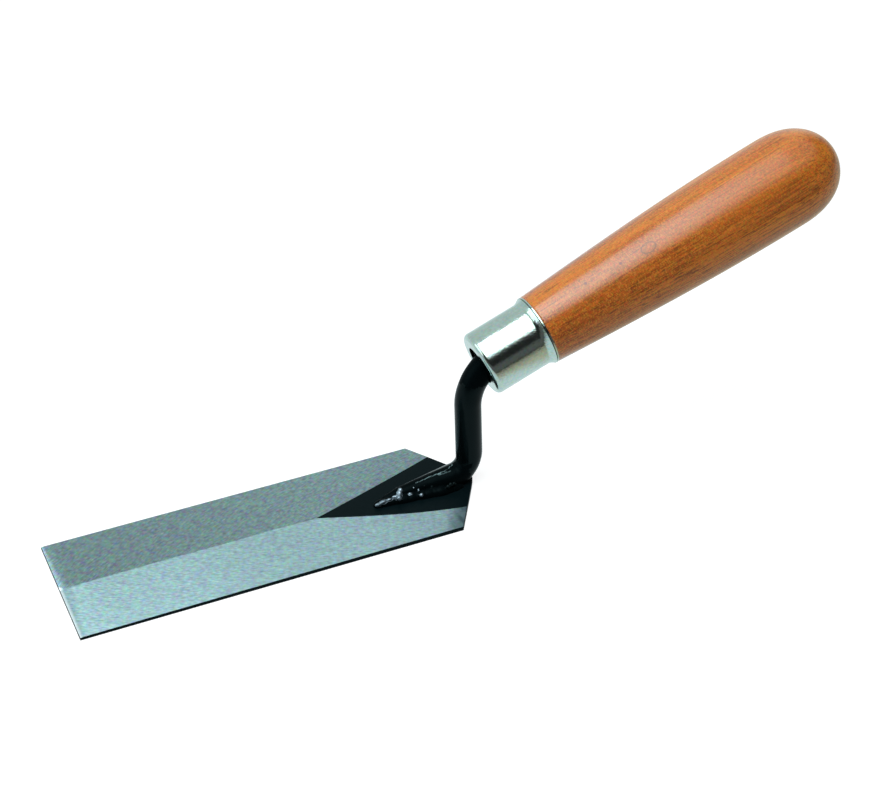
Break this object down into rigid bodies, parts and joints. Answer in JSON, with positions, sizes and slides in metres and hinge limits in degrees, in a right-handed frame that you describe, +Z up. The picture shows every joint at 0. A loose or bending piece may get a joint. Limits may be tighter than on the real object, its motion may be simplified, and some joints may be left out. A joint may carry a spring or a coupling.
{
  "type": "margin trowel",
  "caption": "Hand trowel with a narrow flat steel blade, a cranked shank welded to its heel, a flared plated ferrule and a turned wooden handle, for spreading and pointing mortar.",
  "frame": {"origin": "middle of the blade's sole, midway between the toe and the heel's corners", "axes": "+X from the toe towards the handle, +Z up off the sole, +Y across the blade"},
  "size_m": [0.2776, 0.0508, 0.1025],
  "materials": {
    "blade_steel": "ground bright on both faces, black lacquer left on the heel and the long edges",
    "shank_lacquer": "glossy black lacquer",
    "weld_lacquer": "glossy black lacquer over rippled weld",
    "ferrule_nickel": "bright nickel plate",
    "handle_wood": "orange-brown hardwood under clear gloss lacquer",
    "tang_resin": "matt cured resin"
  },
  "bodies": {
    "root": {"blade": "blade_steel", "shank": "shank_lacquer", "weld_run_left": "weld_lacquer", "weld_run_right": "weld_lacquer", "weld_nose": "weld_lacquer", "ferrule": "ferrule_nickel", "handle": "handle_wood", "tang_resin": "tang_resin"}
  },
  "joints": []
}
